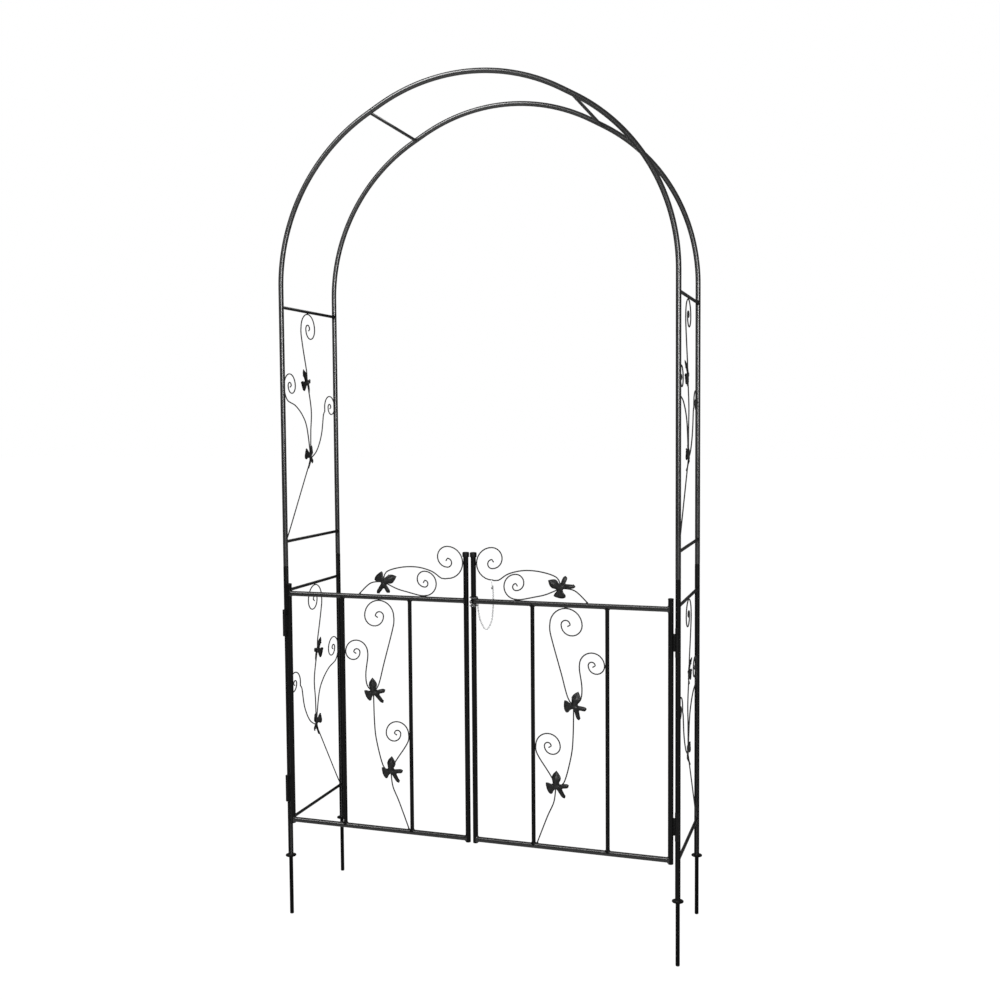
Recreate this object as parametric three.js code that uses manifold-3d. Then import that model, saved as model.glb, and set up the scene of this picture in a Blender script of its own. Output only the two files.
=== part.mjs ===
// Garden arch with a two-leaf gate, in millimetres, +Z up, gate on the -Y side.
import * as THREE from 'three';
import { mergeVertices } from 'three/addons/utils/BufferGeometryUtils.js';
import Module from 'manifold-3d';

const wasm = await Module();
wasm.setup();

// Footprint and tubes
const post_span = 1100;
const frame_depth = 335;
const post_diameter = 14;
const tube_wall = 1;
const crossbar_diameter = 8.6;

// Heights above the ground discs
const panel_height = 652;
const lower_panel_base = 106;
const panel_gap = 138;
const spring_rise = 52;

// Hoop over the path
const bow_radius = 515;
const joint_straight = 20;
const joint_slope = THREE.MathUtils.degToRad(29.25);
const arch_rod_setback = 9;

// Swaged joints and ground stakes
const fit_gap = 0.3;
const spigot_clearance = 0.35;
const spigot_neck = 6;
const spigot_length = 18;
const stake_diameter = 11;
const stake_depth = 168;
const stake_reach = 55;
const stake_chamfer = 1.2;
const disc_diameter = 30;
const disc_thickness = 3;

// Gate leaves
const stile_diameter = 14;
const stile_to_post = 16.2;
const latch_gap = 7;
const rail_diameter = 14;
const bar_diameter = 10.7;
const gate_bottom_rise = 5;
const gate_top_drop = 5;
const stile_drop = 10;
const hinge_stile_rise = 24;
const latch_stile_rise = 126;
const inner_bar_share = 0.309;
const outer_bar_share = 0.689;

// Caps on the stiles
const cap_wall = 1.8;
const cap_height = 13;
const cap_cover = 9;
const cap_chamfer = 1.5;
const plug_height = 4;
const plug_depth = 8;
const plug_overhang = 0.5;

// Hinges
const lower_hinge_share = 0.136;
const upper_hinge_share = 0.869;
const barrel_diameter = 11;
const barrel_length = 46;
const lug_length = 14;
const pin_diameter = 6;
const pin_clearance = 0.35;
const strap_thickness = 3;

// Scrolls and ivy leaves
const wire_diameter = 3.5;
const large_curl = 43;
const small_curl = 33;
const tail_length = 8;
const ivy_width = 63;
const ivy_height = 76;
const ivy_thickness = 1.6;

// Closing chain
const chain_diameter = 3;
const chain_sides = 8;
const chain_hang = 130;

const tube_sides = 12;
const wire_sides = 5;
const bow_steps = 9;
const crown_steps = 5;
const stem_sample_length = 34;

const post_radius = post_diameter / 2;
const stile_radius = stile_diameter / 2;
const rail_radius = rail_diameter / 2;
const bar_radius = bar_diameter / 2;
const crossbar_radius = crossbar_diameter / 2;
const wire_radius = wire_diameter / 2;
const half_span = post_span / 2;
const half_depth = frame_depth / 2;
const upper_panel_base = lower_panel_base + panel_height + panel_gap;
const spring_height = upper_panel_base + panel_height + spring_rise;
const gate_bottom = lower_panel_base + gate_bottom_rise;
const gate_top = lower_panel_base + panel_height - gate_top_drop;

const dark_steel = { color: 0x1b1c1d, roughness: 0.5, metalness: 0.55 };
const cap_plastic = { color: 0x141414, roughness: 0.6, metalness: 0 };
const chain_metal = { color: 0x8d8f92, roughness: 0.35, metalness: 0.9 };

const model = new THREE.Group();
const arch = new THREE.Group();
model.add(arch);

function addPiece(parent, name, geometry, finish, position = [0, 0, 0]) {
  const mesh = new THREE.Mesh(geometry, new THREE.MeshStandardMaterial(finish));
  mesh.name = name;
  mesh.position.set(...position);
  parent.add(mesh);
  return mesh;
}

// A path whose rings fall on the points it is given
class RingPath extends THREE.Curve {
  constructor(points) {
    super();
    this.points = points;
  }
  getPointAt(share) {
    return this.points[Math.round(share * (this.points.length - 1))].clone();
  }
  getTangentAt(share) {
    const last = this.points.length - 1;
    const i = Math.round(share * last);
    const ahead = this.points[Math.min(i + 1, last)];
    const behind = this.points[Math.max(i - 1, 0)];
    return ahead.clone().sub(behind).normalize();
  }
}

function roundSection(radius, sides) {
  const shape = new THREE.Shape();
  for (let i = 0; i < sides; i += 1) {
    const angle = (2 * Math.PI * i) / sides;
    const x = radius * Math.cos(angle);
    const y = radius * Math.sin(angle);
    if (i === 0) shape.moveTo(x, y);
    else shape.lineTo(x, y);
  }
  shape.closePath();
  return shape;
}

function sweep(points, radius, sides, bore = 0) {
  const section = roundSection(radius, sides);
  if (bore > 0) section.holes.push(roundSection(bore, sides));
  const extrudePath = new RingPath(points);
  return new THREE.ExtrudeGeometry(section, { steps: points.length - 1, extrudePath });
}

function toSolid(geometry) {
  const bare = geometry.clone();
  bare.deleteAttribute('normal');
  bare.deleteAttribute('uv');
  const merged = mergeVertices(bare);
  const vertProperties = new Float32Array(merged.attributes.position.array);
  const triVerts = new Uint32Array(merged.index.array);
  return new wasm.Manifold(new wasm.Mesh({ numProp: 3, vertProperties, triVerts }));
}

function toGeometry(solid) {
  const mesh = solid.getMesh();
  const geometry = new THREE.BufferGeometry();
  geometry.setAttribute('position', new THREE.BufferAttribute(mesh.vertProperties, 3));
  geometry.setIndex(new THREE.BufferAttribute(mesh.triVerts, 1));
  geometry.computeVertexNormals();
  return geometry;
}

function join(geometries) {
  return toGeometry(geometries.map(toSolid).reduce((whole, piece) => whole.add(piece)));
}

function straightTube(from, to, diameter) {
  return sweep([from, to], diameter / 2, tube_sides, diameter / 2 - tube_wall);
}

function straightRod(from, to, diameter) {
  return sweep([from, to], diameter / 2, tube_sides);
}

function lathe(profile) {
  const points = profile.map(([radius, height]) => new THREE.Vector2(radius, height));
  return new THREE.LatheGeometry(points, tube_sides).rotateX(Math.PI / 2);
}

const point = (x, y, z) => new THREE.Vector3(x, y, z);

// Hoop centreline on the left side, in x and z
const bow_sweep = Math.PI / 2 - joint_slope;
const bow_centre_x = -half_span + bow_radius;
const bow_end_x = bow_centre_x - bow_radius * Math.cos(bow_sweep);
const bow_end_z = spring_height + bow_radius * Math.sin(bow_sweep);
const joint_x = bow_end_x + joint_straight * Math.cos(joint_slope);
const joint_z = bow_end_z + joint_straight * Math.sin(joint_slope);
const crown_start_x = joint_x + joint_straight * Math.cos(joint_slope);
const crown_start_z = joint_z + joint_straight * Math.sin(joint_slope);
const crown_radius = -crown_start_x / Math.sin(joint_slope);
const crown_centre_z = crown_start_z - crown_radius * Math.cos(joint_slope);
const post_joint_z = upper_panel_base - panel_gap / 2;

const sides = [
  { name: 'left', sign: -1 },
  { name: 'right', sign: 1 },
];
const faces = [
  { name: 'front', sign: -1 },
  { name: 'back', sign: 1 },
];

function alongJoint(sign, y, distance) {
  const x = joint_x + distance * Math.cos(joint_slope);
  const z = joint_z + distance * Math.sin(joint_slope);
  return point(-sign * x, y, z);
}

// A reduced tube end that slides into the next tube
function spigot(seat, direction) {
  const bore = post_radius - tube_wall;
  const outer = bore - spigot_clearance;
  const root = bore + tube_wall / 2;
  const inner = outer - tube_wall;
  const profile = [
    [inner, -spigot_neck],
    [root, -spigot_neck],
    [root, -fit_gap],
    [outer, -fit_gap],
    [outer, spigot_length],
    [inner, spigot_length],
    [inner, -spigot_neck],
  ];
  const turn = new THREE.Quaternion().setFromUnitVectors(point(0, 0, 1), direction);
  return lathe(profile).applyQuaternion(turn).translate(seat.x, seat.y, seat.z);
}

function lowerPost(x, y) {
  const top = point(x, y, post_joint_z);
  const tube = straightTube(point(x, y, disc_thickness + fit_gap), top, post_diameter);
  return join([tube, spigot(top, point(0, 0, 1))]);
}

function upperPost(sign, y) {
  const points = [point(sign * half_span, y, post_joint_z + fit_gap)];
  for (let i = 0; i <= bow_steps; i += 1) {
    const angle = (bow_sweep * i) / bow_steps;
    const x = bow_centre_x - bow_radius * Math.cos(angle);
    points.push(point(-sign * x, y, spring_height + bow_radius * Math.sin(angle)));
  }
  const end = alongJoint(sign, y, 0);
  points.push(end);
  const along = point(-sign * Math.cos(joint_slope), 0, Math.sin(joint_slope));
  const tube = sweep(points, post_radius, tube_sides, post_radius - tube_wall);
  return join([tube, spigot(end, along)]);
}

function crownBow(y) {
  const points = [alongJoint(-1, y, fit_gap)];
  for (let i = -crown_steps; i <= crown_steps; i += 1) {
    const angle = (joint_slope * i) / crown_steps;
    const x = crown_radius * Math.sin(angle);
    points.push(point(x, y, crown_centre_z + crown_radius * Math.cos(angle)));
  }
  points.push(alongJoint(1, y, fit_gap));
  return sweep(points, post_radius, tube_sides, post_radius - tube_wall);
}

function groundStake() {
  const radius = stake_diameter / 2;
  const disc = disc_diameter / 2;
  return lathe([
    [0, -stake_depth],
    [radius - stake_chamfer, -stake_depth],
    [radius, -stake_depth + stake_chamfer],
    [radius, 0],
    [disc, 0],
    [disc, disc_thickness],
    [radius, disc_thickness],
    [radius, disc_thickness + stake_reach - stake_chamfer],
    [radius - stake_chamfer, disc_thickness + stake_reach],
    [0, disc_thickness + stake_reach],
  ]);
}

// Half turns that shrink inwards, ending in a short straight tail
const curl_shares = [1, 0.65, 0.28];
const curl_steps = [7, 5, 4];
const tail_turn = Math.PI / 3;
const curl_lead_share = 0.4;

function curlPoints(start, heading, radius) {
  const points = [];
  let at = start.clone();
  let facing = heading;
  curl_shares.forEach((share, i) => {
    const arc = radius * share;
    const centre = at.clone().add(new THREE.Vector2(arc * Math.sin(facing), -arc * Math.cos(facing)));
    for (let step = 1; step <= curl_steps[i]; step += 1) {
      const turned = facing - (Math.PI * step) / curl_steps[i];
      const out = new THREE.Vector2(-arc * Math.sin(turned), arc * Math.cos(turned));
      points.push(centre.clone().add(out));
    }
    facing -= Math.PI;
    at = points[points.length - 1].clone();
  });
  facing -= tail_turn;
  const tail = new THREE.Vector2(Math.cos(facing), Math.sin(facing)).multiplyScalar(tail_length);
  points.push(at.add(tail));
  return points;
}

function curl(x, z, heading, radius) {
  return { start: new THREE.Vector2(x, z), heading, radius };
}

function flatWire(points) {
  return sweep(points.map((p) => point(p.x, 0, p.y)), wire_radius, wire_sides);
}

// A smooth stem through hand-placed points, running on into its curl
function stemWire(points, end = null) {
  const knots = points.map(([x, z]) => new THREE.Vector2(x, z));
  if (end) {
    const facing = new THREE.Vector2(Math.cos(end.heading), Math.sin(end.heading));
    const lead = end.radius * curl_lead_share;
    knots.push(end.start.clone().addScaledVector(facing, -lead));
    knots.push(end.start.clone());
  }
  const route = new THREE.SplineCurve(knots);
  const drawn = route.getSpacedPoints(Math.ceil(route.getLength() / stem_sample_length));
  if (!end) return flatWire(drawn);
  return flatWire(drawn.concat(curlPoints(end.start, end.heading, end.radius)));
}

// Ivy leaf seen from the front, clockwise from its tip, as shares of its width and height
const ivy_shares = [
  [0.04, 0.53],
  [0.15, 0.42],
  [0.23, 0.3],
  [0.21, 0.2],
  [0.16, 0.13],
  [0.19, 0.08],
  [0.34, 0.085],
  [0.48, 0.08],
  [0.55, 0.03],
  [0.5, -0.06],
  [0.38, -0.075],
  [0.27, -0.09],
  [0.32, -0.22],
  [0.37, -0.35],
  [0.33, -0.43],
  [0.23, -0.39],
  [0.13, -0.25],
  [0.05, -0.13],
  [-0.02, -0.1],
  [-0.11, -0.17],
  [-0.16, -0.25],
  [-0.25, -0.28],
  [-0.34, -0.22],
  [-0.4, -0.11],
  [-0.43, 0.01],
  [-0.43, 0.11],
  [-0.32, 0.12],
  [-0.2, 0.09],
  [-0.13, 0.1],
  [-0.14, 0.18],
  [-0.16, 0.28],
  [-0.12, 0.4],
];
const ivy_tilts = {
  left: { low: THREE.MathUtils.degToRad(2), high: THREE.MathUtils.degToRad(11) },
  right: { low: THREE.MathUtils.degToRad(3), high: THREE.MathUtils.degToRad(-13) },
};
const crest_tilts = { left: THREE.MathUtils.degToRad(-64), right: THREE.MathUtils.degToRad(65) };
const side_tilts = { low: THREE.MathUtils.degToRad(-37), high: THREE.MathUtils.degToRad(12) };

function ivyLeaf(centre, tilt) {
  const shape = new THREE.Shape(
    ivy_shares.map(([x, z]) => new THREE.Vector2(x * ivy_width, z * ivy_height)),
  );
  const plate = new THREE.ExtrudeGeometry(shape, { depth: ivy_thickness, bevelEnabled: false });
  return plate
    .translate(0, 0, -ivy_thickness / 2)
    .rotateZ(tilt)
    .rotateX(Math.PI / 2)
    .translate(centre[0], 0, centre[1]);
}

const up = Math.PI / 2;
const level = Math.PI;
const touch_gap = wire_radius + fit_gap;

// Side scroll, in shares of half the frame's depth and of the panel's height
const side_shares = {
  low_joint: [-0.02, 0.35],
  high_joint: [-0.12, 0.7],
  low_leaf: [-0.068, 0.361],
  high_leaf: [-0.15, 0.686],
  foot_stem: [[-0.81, 0.057], [-0.484, 0.178]],
  mid_stem: [[-0.006, 0.466], [0.024, 0.569]],
  top_stem: [[-0.125, 0.736], [-0.227, 0.82]],
  near_stem: [[-0.143, 0.483], [-0.3, 0.541], [-0.555, 0.584], [-0.84, 0.607]],
  far_stem: [[0.22, 0.385], [0.41, 0.457], [0.5, 0.546]],
  top_curl: -0.31,
  near_curl: 0.67,
  far_curl: 0.58,
};

function sideScroll() {
  const reach = half_depth - post_radius - touch_gap;
  const at = ([x, z]) => [x * half_depth, z * panel_height];
  const low_joint = at(side_shares.low_joint);
  const high_joint = at(side_shares.high_joint);
  const top_z = panel_height - crossbar_radius - touch_gap - large_curl;
  const far_x = reach - 2 * small_curl;
  const top = curl(side_shares.top_curl * half_depth, top_z, up, large_curl);
  const near = curl(-reach, side_shares.near_curl * panel_height, up, small_curl);
  const far = curl(far_x, side_shares.far_curl * panel_height, up, small_curl);
  const foot = [-reach, crossbar_radius + touch_gap];
  return join([
    stemWire([foot, ...side_shares.foot_stem.map(at), low_joint]),
    stemWire([low_joint, ...side_shares.mid_stem.map(at), high_joint]),
    stemWire([high_joint, ...side_shares.top_stem.map(at)], top),
    stemWire([low_joint, ...side_shares.near_stem.map(at)], near),
    stemWire([low_joint, ...side_shares.far_stem.map(at)], far),
    ivyLeaf(at(side_shares.low_leaf), side_tilts.low),
    ivyLeaf(at(side_shares.high_leaf), side_tilts.high),
  ]);
}

// Places across one gate leaf, from the middle of the path to the post
const leaf_forward = post_radius + barrel_diameter / 2 + fit_gap;
const latch_x = latch_gap / 2 + stile_radius;
const hinge_x = half_span - stile_to_post;
const leaf_width = hinge_x - latch_x;
const inner_bar_x = latch_x + leaf_width * inner_bar_share;
const outer_bar_x = latch_x + leaf_width * outer_bar_share;
const bar_spacing = outer_bar_x - inner_bar_x;
const gate_height = gate_top - gate_bottom;

// Scroll between the bars, in shares of their spacing and the leaf's height
const panel_shares = {
  low_leaf: [0.307, 0.255],
  high_leaf: [0.551, 0.589],
  foot: 0.05,
  foot_stem: [[0.19, 0.126], [0.28, 0.19]],
  mid_stem: [[0.417, 0.273], [0.515, 0.383], [0.543, 0.467]],
  low_stem: [[0.234, 0.299], [0.08, 0.369]],
  top_stem: [[0.472, 0.625], [0.387, 0.72], [0.276, 0.841]],
  high_stem: [[0.643, 0.617], [0.663, 0.667]],
  top_curl: 0.236,
  low_curl: 0.419,
  high_curl: 0.759,
};

function panelScroll(side) {
  const at = ([x, z]) => [inner_bar_x + x * bar_spacing, gate_bottom + z * gate_height];
  const low_leaf = at(panel_shares.low_leaf);
  const high_leaf = at(panel_shares.high_leaf);
  const bar_touch = bar_radius + touch_gap;
  const [top_x] = at([panel_shares.top_curl, 0]);
  const [, low_z] = at([0, panel_shares.low_curl]);
  const [, high_z] = at([0, panel_shares.high_curl]);
  const [foot_x] = at([panel_shares.foot, 0]);
  const top_z = gate_top - rail_radius - touch_gap - large_curl;
  const top = curl(top_x, top_z, up, large_curl);
  const low = curl(inner_bar_x + bar_touch, low_z, up, small_curl);
  const high = curl(outer_bar_x - bar_touch - 2 * small_curl, high_z, up, small_curl);
  const foot = [foot_x, gate_bottom + rail_radius + touch_gap];
  const wires = join([
    stemWire([foot, ...panel_shares.foot_stem.map(at), low_leaf]),
    stemWire([low_leaf, ...panel_shares.mid_stem.map(at), high_leaf]),
    stemWire([low_leaf, ...panel_shares.low_stem.map(at)], low),
    stemWire([high_leaf, ...panel_shares.top_stem.map(at)], top),
    stemWire([high_leaf, ...panel_shares.high_stem.map(at)], high),
  ]);
  const tilts = ivy_tilts[side.name];
  return join([
    side.sign > 0 ? wires : mirrored(wires),
    ivyLeaf([side.sign * low_leaf[0], low_leaf[1]], tilts.low),
    ivyLeaf([side.sign * high_leaf[0], high_leaf[1]], tilts.high),
  ]);
}

// Scroll on the top rail, in shares of the leaf's width and the latch stile's rise
const crest_shares = {
  leaf: [0.455, 0.338],
  foot: 0.588,
  foot_stem: [[0.525, 0.3]],
  upper_stem: [[0.437, 0.55], [0.358, 0.66], [0.267, 0.68], [0.186, 0.6]],
  lower_stem: [[0.381, 0.2], [0.32, 0.135]],
  upper_curl: 0.458,
  lower_curl: 0.2245,
};

function crestScroll(side) {
  const at = ([x, z]) => [latch_x + x * leaf_width, gate_top + z * latch_stile_rise];
  const leaf = at(crest_shares.leaf);
  const rail_touch = gate_top + rail_radius + touch_gap;
  const upper_x = latch_x + stile_radius + touch_gap + large_curl;
  const [, upper_z] = at([0, crest_shares.upper_curl]);
  const [lower_x] = at([crest_shares.lower_curl, 0]);
  const [foot_x] = at([crest_shares.foot, 0]);
  const upper = curl(upper_x, upper_z, level, large_curl);
  const lower = curl(lower_x, rail_touch, level, small_curl);
  const wires = join([
    stemWire([[foot_x, rail_touch], ...crest_shares.foot_stem.map(at), leaf]),
    stemWire([leaf, ...crest_shares.upper_stem.map(at)], upper),
    stemWire([leaf, ...crest_shares.lower_stem.map(at)], lower),
  ]);
  return join([
    side.sign > 0 ? wires : mirrored(wires),
    ivyLeaf([side.sign * leaf[0], leaf[1]], crest_tilts[side.name]),
  ]);
}

function mirrored(geometry) {
  const flipped = geometry.clone().scale(-1, 1, 1);
  const order = flipped.index.array;
  for (let i = 0; i < order.length; i += 3) {
    [order[i + 1], order[i + 2]] = [order[i + 2], order[i + 1]];
  }
  return flipped;
}

// Pin with a lug at each end, welded to the front of the post
function hingePin() {
  const lug = barrel_diameter / 2;
  const pin = pin_diameter / 2;
  const inner = barrel_length / 2 + fit_gap;
  const outer = inner + lug_length;
  return lathe([
    [0, -outer],
    [lug, -outer],
    [lug, -inner],
    [pin, -inner],
    [pin, inner],
    [lug, inner],
    [lug, outer],
    [0, outer],
  ]);
}

// Barrel that turns on the pin, with a strap to the hinge stile on its -X side
function hingeBarrel() {
  const outer = barrel_diameter / 2;
  const bore = pin_diameter / 2 + pin_clearance;
  const half = barrel_length / 2;
  const barrel = lathe([
    [bore, -half],
    [outer, -half],
    [outer, half],
    [bore, half],
    [bore, -half],
  ]);
  const strap_end = stile_to_post - stile_radius - fit_gap;
  const strap_root = (outer + bore) / 2;
  const strap_length = strap_end - strap_root;
  const strap = new THREE.BoxGeometry(strap_length, strap_thickness, barrel_length);
  strap.translate(-strap_root - strap_length / 2, 0, 0);
  return join([barrel, strap]);
}

function latchCap() {
  const bore = stile_radius + fit_gap;
  const outer = bore + cap_wall;
  return lathe([
    [0, cap_cover + fit_gap],
    [bore, cap_cover + fit_gap],
    [bore, 0],
    [outer, 0],
    [outer, cap_height - cap_chamfer],
    [outer - cap_chamfer, cap_height],
    [0, cap_height],
  ]);
}

function hingePlug() {
  const head = stile_radius + plug_overhang;
  const shank = stile_radius - tube_wall - spigot_clearance;
  return lathe([
    [0, -plug_depth],
    [shank, -plug_depth],
    [shank, fit_gap],
    [head, fit_gap],
    [head, plug_height - cap_chamfer],
    [head - cap_chamfer, plug_height],
    [0, plug_height],
  ]);
}

// Chain route, in shares of its spread, its set-back behind the rail and its drop
const chain_shares = [
  [1, 0, 1],
  [1, 0.55, 0.9],
  [0.99, 1, 0.74],
  [0.98, 1, 0.45],
  [0.86, 1, 0.16],
  [0.52, 1, 0],
  [0.18, 1, 0.16],
  [0.03, 1, 0.38],
  [0, 1, 0.6],
];
const chain_steps = 24;

function closingChain() {
  const radius = chain_diameter / 2;
  const near_x = latch_x + stile_radius + fit_gap + radius;
  const far_x = latch_x + stile_radius + touch_gap + large_curl;
  const curl_z = gate_top + crest_shares.upper_curl * latch_stile_rise;
  const top_z = curl_z - touch_gap - radius;
  const behind = rail_radius + fit_gap + radius;
  const knots = chain_shares.map(([x, y, z]) => (
    point(near_x + x * (far_x - near_x), y * behind, top_z - (1 - z) * chain_hang)
  ));
  const points = new THREE.CatmullRomCurve3(knots).getSpacedPoints(chain_steps);
  return sweep(points, radius, chain_sides);
}

function addGroundFrame(side, face) {
  const place = `${side.name}_${face.name}`;
  const x = side.sign * half_span;
  const y = face.sign * half_depth;
  addPiece(arch, `ground_stake_${place}`, groundStake(), dark_steel, [x, y, 0]);
  addPiece(arch, `lower_post_${place}`, lowerPost(x, y), dark_steel);
  addPiece(arch, `upper_post_${place}`, upperPost(side.sign, y), dark_steel);
}

const crossings = [
  { name: 'lower_bottom', z: lower_panel_base },
  { name: 'lower_top', z: lower_panel_base + panel_height },
  { name: 'upper_bottom', z: upper_panel_base },
  { name: 'upper_top', z: upper_panel_base + panel_height },
];
const panels = [
  { name: 'lower', z: lower_panel_base, turn: -Math.PI / 2 },
  { name: 'upper', z: upper_panel_base, turn: Math.PI / 2 },
];

function addSide(side) {
  const x = side.sign * half_span;
  const reach = half_depth - post_radius - fit_gap;
  crossings.forEach(({ name, z }) => {
    const bar = straightRod(point(x, -reach, z), point(x, reach, z), crossbar_diameter);
    addPiece(arch, `crossbar_${side.name}_${name}`, bar, dark_steel);
  });
  const rod_from = alongJoint(side.sign, -reach, -arch_rod_setback);
  const rod_to = alongJoint(side.sign, reach, -arch_rod_setback);
  addPiece(arch, `arch_rod_${side.name}`, straightRod(rod_from, rod_to, crossbar_diameter), dark_steel);
  panels.forEach((panel) => {
    const name = `scroll_${side.name}_${panel.name}`;
    addPiece(arch, name, sideScroll(), dark_steel, [x, 0, panel.z]).rotation.z = panel.turn;
  });
}

const leaf_y = -half_depth - leaf_forward;
const hinges = [
  { name: 'lower', z: gate_bottom + lower_hinge_share * gate_height },
  { name: 'upper', z: gate_bottom + upper_hinge_share * gate_height },
];

function addLeaf(side) {
  const leaf = new THREE.Group();
  leaf.position.y = leaf_y;
  arch.add(leaf);
  const add = (name, geometry, finish, position) => (
    addPiece(leaf, `${side.name}_leaf_${name}`, geometry, finish, position)
  );
  const foot_z = gate_bottom - stile_drop;
  const upright = (x, from, to, diameter) => (
    straightTube(point(side.sign * x, 0, from), point(side.sign * x, 0, to), diameter)
  );
  const rail = (z) => (
    straightTube(
      point(side.sign * (latch_x + stile_radius + fit_gap), 0, z),
      point(side.sign * (hinge_x - stile_radius - fit_gap), 0, z),
      rail_diameter,
    )
  );
  const bar_from = gate_bottom + rail_radius + fit_gap;
  const bar_to = gate_top - rail_radius - fit_gap;
  const hinge_top = gate_top + hinge_stile_rise;
  const latch_top = gate_top + latch_stile_rise;
  add('hinge_stile', upright(hinge_x, foot_z, hinge_top, stile_diameter), dark_steel);
  add('latch_stile', upright(latch_x, foot_z, latch_top, stile_diameter), dark_steel);
  add('bottom_rail', rail(gate_bottom), dark_steel);
  add('top_rail', rail(gate_top), dark_steel);
  add('inner_bar', upright(inner_bar_x, bar_from, bar_to, bar_diameter), dark_steel);
  add('outer_bar', upright(outer_bar_x, bar_from, bar_to, bar_diameter), dark_steel);
  add('panel_scroll', panelScroll(side), dark_steel);
  add('crest_scroll', crestScroll(side), dark_steel);
  add('latch_cap', latchCap(), cap_plastic, [side.sign * latch_x, 0, latch_top - cap_cover]);
  add('hinge_cap', hingePlug(), cap_plastic, [side.sign * hinge_x, 0, hinge_top]);
  hinges.forEach((hinge) => {
    const place = [side.sign * half_span, 0, hinge.z];
    const barrel = add(`hinge_barrel_${hinge.name}`, hingeBarrel(), dark_steel, place);
    barrel.rotation.z = side.sign > 0 ? 0 : Math.PI;
    addPiece(leaf, `hinge_pin_${side.name}_${hinge.name}`, hingePin(), dark_steel, place);
  });
  if (side.sign > 0) add('closing_chain', closingChain(), chain_metal);
}

sides.forEach((side) => {
  faces.forEach((face) => addGroundFrame(side, face));
  addSide(side);
  addLeaf(side);
});
faces.forEach((face) => {
  addPiece(arch, `crown_bow_${face.name}`, crownBow(face.sign * half_depth), dark_steel);
});

// The frame's origin lies under the middle of the footprint, at the stakes' tips
const front_reach = half_depth + leaf_forward + stile_radius + fit_gap + cap_wall;
const back_reach = half_depth + disc_diameter / 2;
arch.position.set(0, (front_reach - back_reach) / 2, stake_depth);

export default model;
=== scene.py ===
# Garden arch with a two-leaf gate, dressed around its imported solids.
# Pieces are drawn in millimetres from the top of the ground, then set into the frame in metres.
import math

import bmesh
import bpy
from mathutils import Matrix, Vector, noise
from mathutils.geometry import interpolate_bezier, intersect_point_line


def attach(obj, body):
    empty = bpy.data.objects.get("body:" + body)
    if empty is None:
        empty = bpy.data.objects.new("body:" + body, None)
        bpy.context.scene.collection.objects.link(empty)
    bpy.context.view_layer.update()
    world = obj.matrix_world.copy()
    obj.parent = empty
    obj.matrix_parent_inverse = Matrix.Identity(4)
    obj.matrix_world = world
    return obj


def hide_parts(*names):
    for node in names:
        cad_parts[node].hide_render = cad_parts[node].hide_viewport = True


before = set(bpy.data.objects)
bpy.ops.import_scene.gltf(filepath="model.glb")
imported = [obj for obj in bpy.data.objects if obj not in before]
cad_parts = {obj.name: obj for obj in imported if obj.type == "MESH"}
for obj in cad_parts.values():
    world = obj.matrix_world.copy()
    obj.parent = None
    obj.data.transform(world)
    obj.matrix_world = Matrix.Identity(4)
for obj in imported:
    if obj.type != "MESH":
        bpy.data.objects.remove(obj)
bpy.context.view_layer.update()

mm = 0.001
X, Y, Z = Vector((1, 0, 0)), Vector((0, 1, 0)), Vector((0, 0, 1))

# Footprint and tubes
post_span = 1100
frame_depth = 335
post_radius = 14 / 2
tube_wall = 1
crossbar_diameter = 8.6
panel_height = 652
lower_panel_base = 106
panel_gap = 138
spring_rise = 52
bow_radius = 515
joint_straight = 20
joint_slope = math.radians(29.25)
arch_rod_setback = 9
fit_gap = 0.3
spigot_clearance = 0.35
spigot_length = 18
socket_depth = 24
stake_radius = 11 / 2
stake_depth = 168
stake_reach = 55
disc_radius = 15
disc_thickness = 3

# Gate leaves
stile_radius = 14 / 2
stile_to_post = 16.2
latch_gap = 7
rail_radius = 14 / 2
bar_radius = 10.7 / 2
gate_clearance = 5
gate_bottom = lower_panel_base + gate_clearance
gate_top = lower_panel_base + panel_height - gate_clearance
gate_height = gate_top - gate_bottom
stile_drop = 10
hinge_stile_rise = 24
latch_stile_rise = 126
barrel_radius = 11 / 2
barrel_length = 46
lug_length = 14
pin_radius = 3
pin_clearance = 0.35
strap_thickness = 3
cap_wall = 1.8
cap_height = 13
cap_cover = 9

# Scrolls and ivy leaves
wire_radius = 3.5 / 2
large_curl = 43
small_curl = 33
tail_length = 8
ivy_width = 63
ivy_height = 76
ivy_thickness = 1.6
touch_gap = wire_radius + fit_gap
chain_hang = 130

half_span = post_span / 2
half_depth = frame_depth / 2
upper_panel_base = lower_panel_base + panel_height + panel_gap
spring_height = upper_panel_base + panel_height + spring_rise
post_joint_z = upper_panel_base - panel_gap / 2
leaf_y = -half_depth - post_radius - barrel_radius - fit_gap
latch_x = latch_gap / 2 + stile_radius
hinge_x = half_span - stile_to_post
leaf_width = hinge_x - latch_x
inner_bar_share = 0.309
outer_bar_share = 0.689
inner_bar_x = latch_x + leaf_width * inner_bar_share
outer_bar_x = latch_x + leaf_width * outer_bar_share
bar_spacing = outer_bar_x - inner_bar_x
front_reach = -leaf_y + stile_radius + fit_gap + cap_wall
back_reach = half_depth + disc_radius
frame_shift = Vector((0, (front_reach - back_reach) / 2, stake_depth))
into_frame = Matrix.Scale(mm, 4) @ Matrix.Translation(frame_shift)

# Fineness of the round pieces
tube_sides = 28
bar_sides = 20
wire_sides = 10
bow_steps = 40
crown_steps = 30
curl_steps = 14
spline_step = 6
weld_leg = 2.1
merge_distance = 1e-4


# ---------------------------------------------------------------- finishes


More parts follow.
